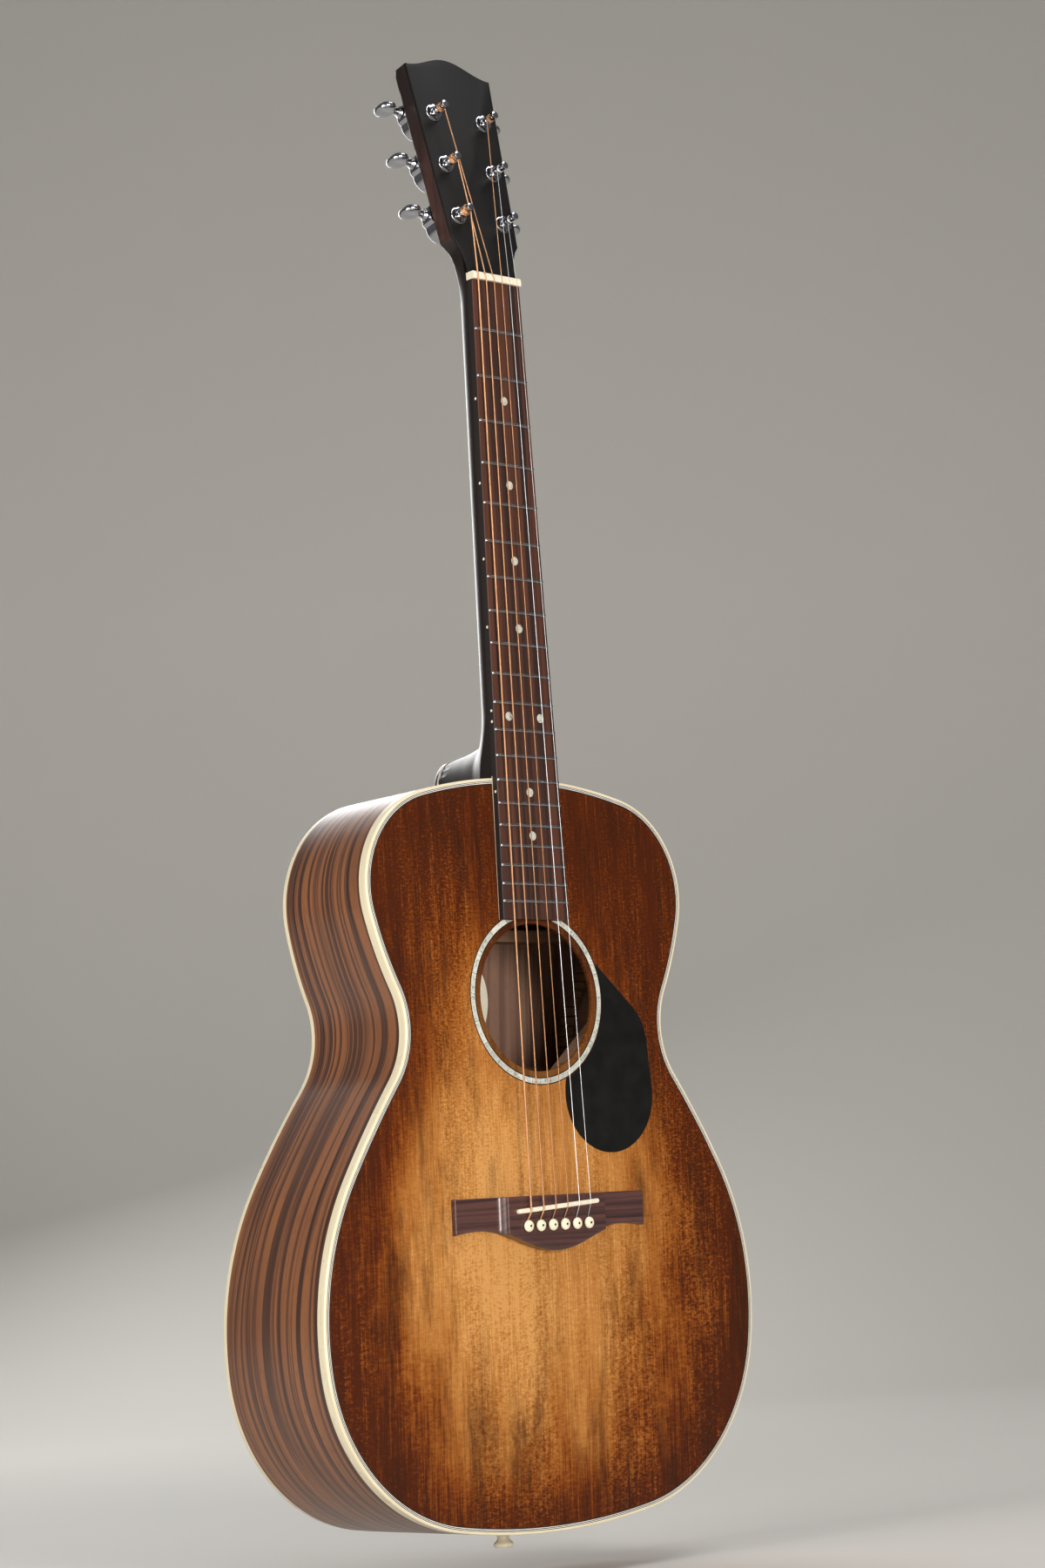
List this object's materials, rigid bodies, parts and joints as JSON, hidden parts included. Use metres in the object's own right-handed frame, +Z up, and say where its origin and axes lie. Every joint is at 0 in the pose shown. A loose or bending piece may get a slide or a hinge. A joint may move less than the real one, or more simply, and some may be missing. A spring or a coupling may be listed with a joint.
{
  "type": "acoustic guitar",
  "caption": "Steel-string acoustic guitar with a domed top, cream binding, round sound hole, belly bridge with pull-out pins and geared tuners.",
  "frame": {"origin": "on the centre line, in the middle of the head of the strap button at the foot of the body", "axes": "+X across the neck to the treble side, -Y out of the front of the body, +Z up the neck to the headstock"},
  "size_m": [0.3898, 0.1417, 1.0587],
  "materials": {
    "top_wood": "satin sunburst over vertical grain",
    "side_wood": "satin, striped grain",
    "ivoroid": "polished cream with faint grain",
    "purfling": "fine black and white lines",
    "brace_wood": "raw planed wood",
    "pearl": "polished shell",
    "black_sheet": "satin black",
    "label_paper": "plain paper",
    "dark_wood": "oiled dark wood with streaks",
    "bone": "polished bone",
    "neck_wood": "satin dark stain",
    "black_lacquer": "satin black lacquer",
    "fret_wire": "polished",
    "rod_steel": "plain steel",
    "chrome": "mirror plate",
    "bronze_string": "bronze winding",
    "steel_string": "plain wire"
  },
  "bodies": {
    "guitar": {"soundboard": "top_wood", "front_purfling": "purfling", "front_binding": "ivoroid", "back_binding": "ivoroid", "bass_side": "side_wood", "treble_side": "side_wood", "back_plates": "side_wood", "front_lining": "brace_wood", "back_lining": "brace_wood", "neck_block": "brace_wood", "tail_block": "brace_wood", "x_brace": "brace_wood", "tone_bars": "brace_wood", "finger_braces": "brace_wood", "cross_brace": "brace_wood", "bridge_plate": "brace_wood", "back_braces": "brace_wood", "rosette": "pearl", "pickguard": "black_sheet", "paper_label": "label_paper", "bridge": "dark_wood", "saddle": "bone", "strap_button": "ivoroid", "neck": "neck_wood", "headplate": "black_lacquer", "heel_cap": "dark_wood", "fingerboard": "dark_wood", "position_dots": "pearl", "frets": "fret_wire", "nut": "bone", "truss_rod": "rod_steel", "tuner_housings": "chrome", "tuner_screws": "chrome", "tuner_bushings": "chrome", "string_1": "bronze_string", "string_2": "bronze_string", "string_3": "bronze_string", "string_4": "bronze_string", "string_5": "steel_string", "string_6": "steel_string"},
    "key_1": {"tuner_key_1": "chrome"},
    "post_1": {"string_post_1": "chrome"},
    "key_2": {"tuner_key_2": "chrome"},
    "post_2": {"string_post_2": "chrome"},
    "key_3": {"tuner_key_3": "chrome"},
    "post_3": {"string_post_3": "chrome"},
    "key_4": {"tuner_key_4": "chrome"},
    "post_4": {"string_post_4": "chrome"},
    "key_5": {"tuner_key_5": "chrome"},
    "post_5": {"string_post_5": "chrome"},
    "key_6": {"tuner_key_6": "chrome"},
    "post_6": {"string_post_6": "chrome"},
    "pin_1": {"bridge_pin_1": "ivoroid"},
    "pin_2": {"bridge_pin_2": "ivoroid"},
    "pin_3": {"bridge_pin_3": "ivoroid"},
    "pin_4": {"bridge_pin_4": "ivoroid"},
    "pin_5": {"bridge_pin_5": "ivoroid"},
    "pin_6": {"bridge_pin_6": "ivoroid"},
    "rod_nut": {"truss_rod_nut": "rod_steel"}
  },
  "joints": [
    {"name": "key_1_turn", "type": "hinge", "parent": "guitar", "child": "key_1", "pos_m": [-0.0209, -0.0439, 0.93417], "axis": [-1, 0, 0], "continuous": true},
    {"name": "post_1_turn", "type": "hinge", "parent": "guitar", "child": "post_1", "pos_m": [-0.0209, -0.05176, 0.92603], "axis": [0, -0.9781, 0.2079], "continuous": true},
    {"name": "key_2_turn", "type": "hinge", "parent": "guitar", "child": "key_2", "pos_m": [-0.0221, -0.03531, 0.97457], "axis": [-1, 0, 0], "continuous": true},
    {"name": "post_2_turn", "type": "hinge", "parent": "guitar", "child": "post_2", "pos_m": [-0.0221, -0.04318, 0.96642], "axis": [0, -0.9781, 0.2079], "continuous": true},
    {"name": "key_3_turn", "type": "hinge", "parent": "guitar", "child": "key_3", "pos_m": [-0.0234, -0.02671, 1.01506], "axis": [-1, 0, 0], "continuous": true},
    {"name": "post_3_turn", "type": "hinge", "parent": "guitar", "child": "post_3", "pos_m": [-0.0234, -0.03457, 1.00692], "axis": [0, -0.9781, 0.2079], "continuous": true},
    {"name": "key_4_turn", "type": "hinge", "parent": "guitar", "child": "key_4", "pos_m": [0.0234, -0.02671, 1.01506], "axis": [1, 0, 0], "continuous": true},
    {"name": "post_4_turn", "type": "hinge", "parent": "guitar", "child": "post_4", "pos_m": [0.0234, -0.03457, 1.00692], "axis": [0, -0.9781, 0.2079], "continuous": true},
    {"name": "key_5_turn", "type": "hinge", "parent": "guitar", "child": "key_5", "pos_m": [0.0221, -0.03531, 0.97457], "axis": [1, 0, 0], "continuous": true},
    {"name": "post_5_turn", "type": "hinge", "parent": "guitar", "child": "post_5", "pos_m": [0.0221, -0.04318, 0.96642], "axis": [0, -0.9781, 0.2079], "continuous": true},
    {"name": "key_6_turn", "type": "hinge", "parent": "guitar", "child": "key_6", "pos_m": [0.0209, -0.0439, 0.93417], "axis": [1, 0, 0], "continuous": true},
    {"name": "post_6_turn", "type": "hinge", "parent": "guitar", "child": "post_6", "pos_m": [0.0209, -0.05176, 0.92603], "axis": [0, -0.9781, 0.2079], "continuous": true},
    {"name": "pin_1_pull", "type": "slide", "parent": "guitar", "child": "pin_1", "axis": [0, -0.9996, -0.0291], "range_m": [0, 0.03]},
    {"name": "pin_2_pull", "type": "slide", "parent": "guitar", "child": "pin_2", "axis": [0, -0.9996, -0.0291], "range_m": [0, 0.03]},
    {"name": "pin_3_pull", "type": "slide", "parent": "guitar", "child": "pin_3", "axis": [0, -0.9996, -0.0291], "range_m": [0, 0.03]},
    {"name": "pin_4_pull", "type": "slide", "parent": "guitar", "child": "pin_4", "axis": [0, -0.9996, -0.0291], "range_m": [0, 0.03]},
    {"name": "pin_5_pull", "type": "slide", "parent": "guitar", "child": "pin_5", "axis": [0, -0.9996, -0.0291], "range_m": [0, 0.03]},
    {"name": "pin_6_pull", "type": "slide", "parent": "guitar", "child": "pin_6", "axis": [0, -0.9996, -0.0291], "range_m": [0, 0.03]},
    {"name": "rod_nut_turn", "type": "hinge", "parent": "guitar", "child": "rod_nut", "pos_m": [0, -0.0653, 0.48504], "axis": [0, 0, -1], "range_deg": [-180, 180]}
  ],
  "couplings": [
    {"joint": "post_1_turn", "follows": "key_1_turn", "ratio": 0.071429},
    {"joint": "post_2_turn", "follows": "key_2_turn", "ratio": 0.071429},
    {"joint": "post_3_turn", "follows": "key_3_turn", "ratio": 0.071429},
    {"joint": "post_4_turn", "follows": "key_4_turn", "ratio": 0.071429},
    {"joint": "post_5_turn", "follows": "key_5_turn", "ratio": 0.071429},
    {"joint": "post_6_turn", "follows": "key_6_turn", "ratio": 0.071429}
  ]
}
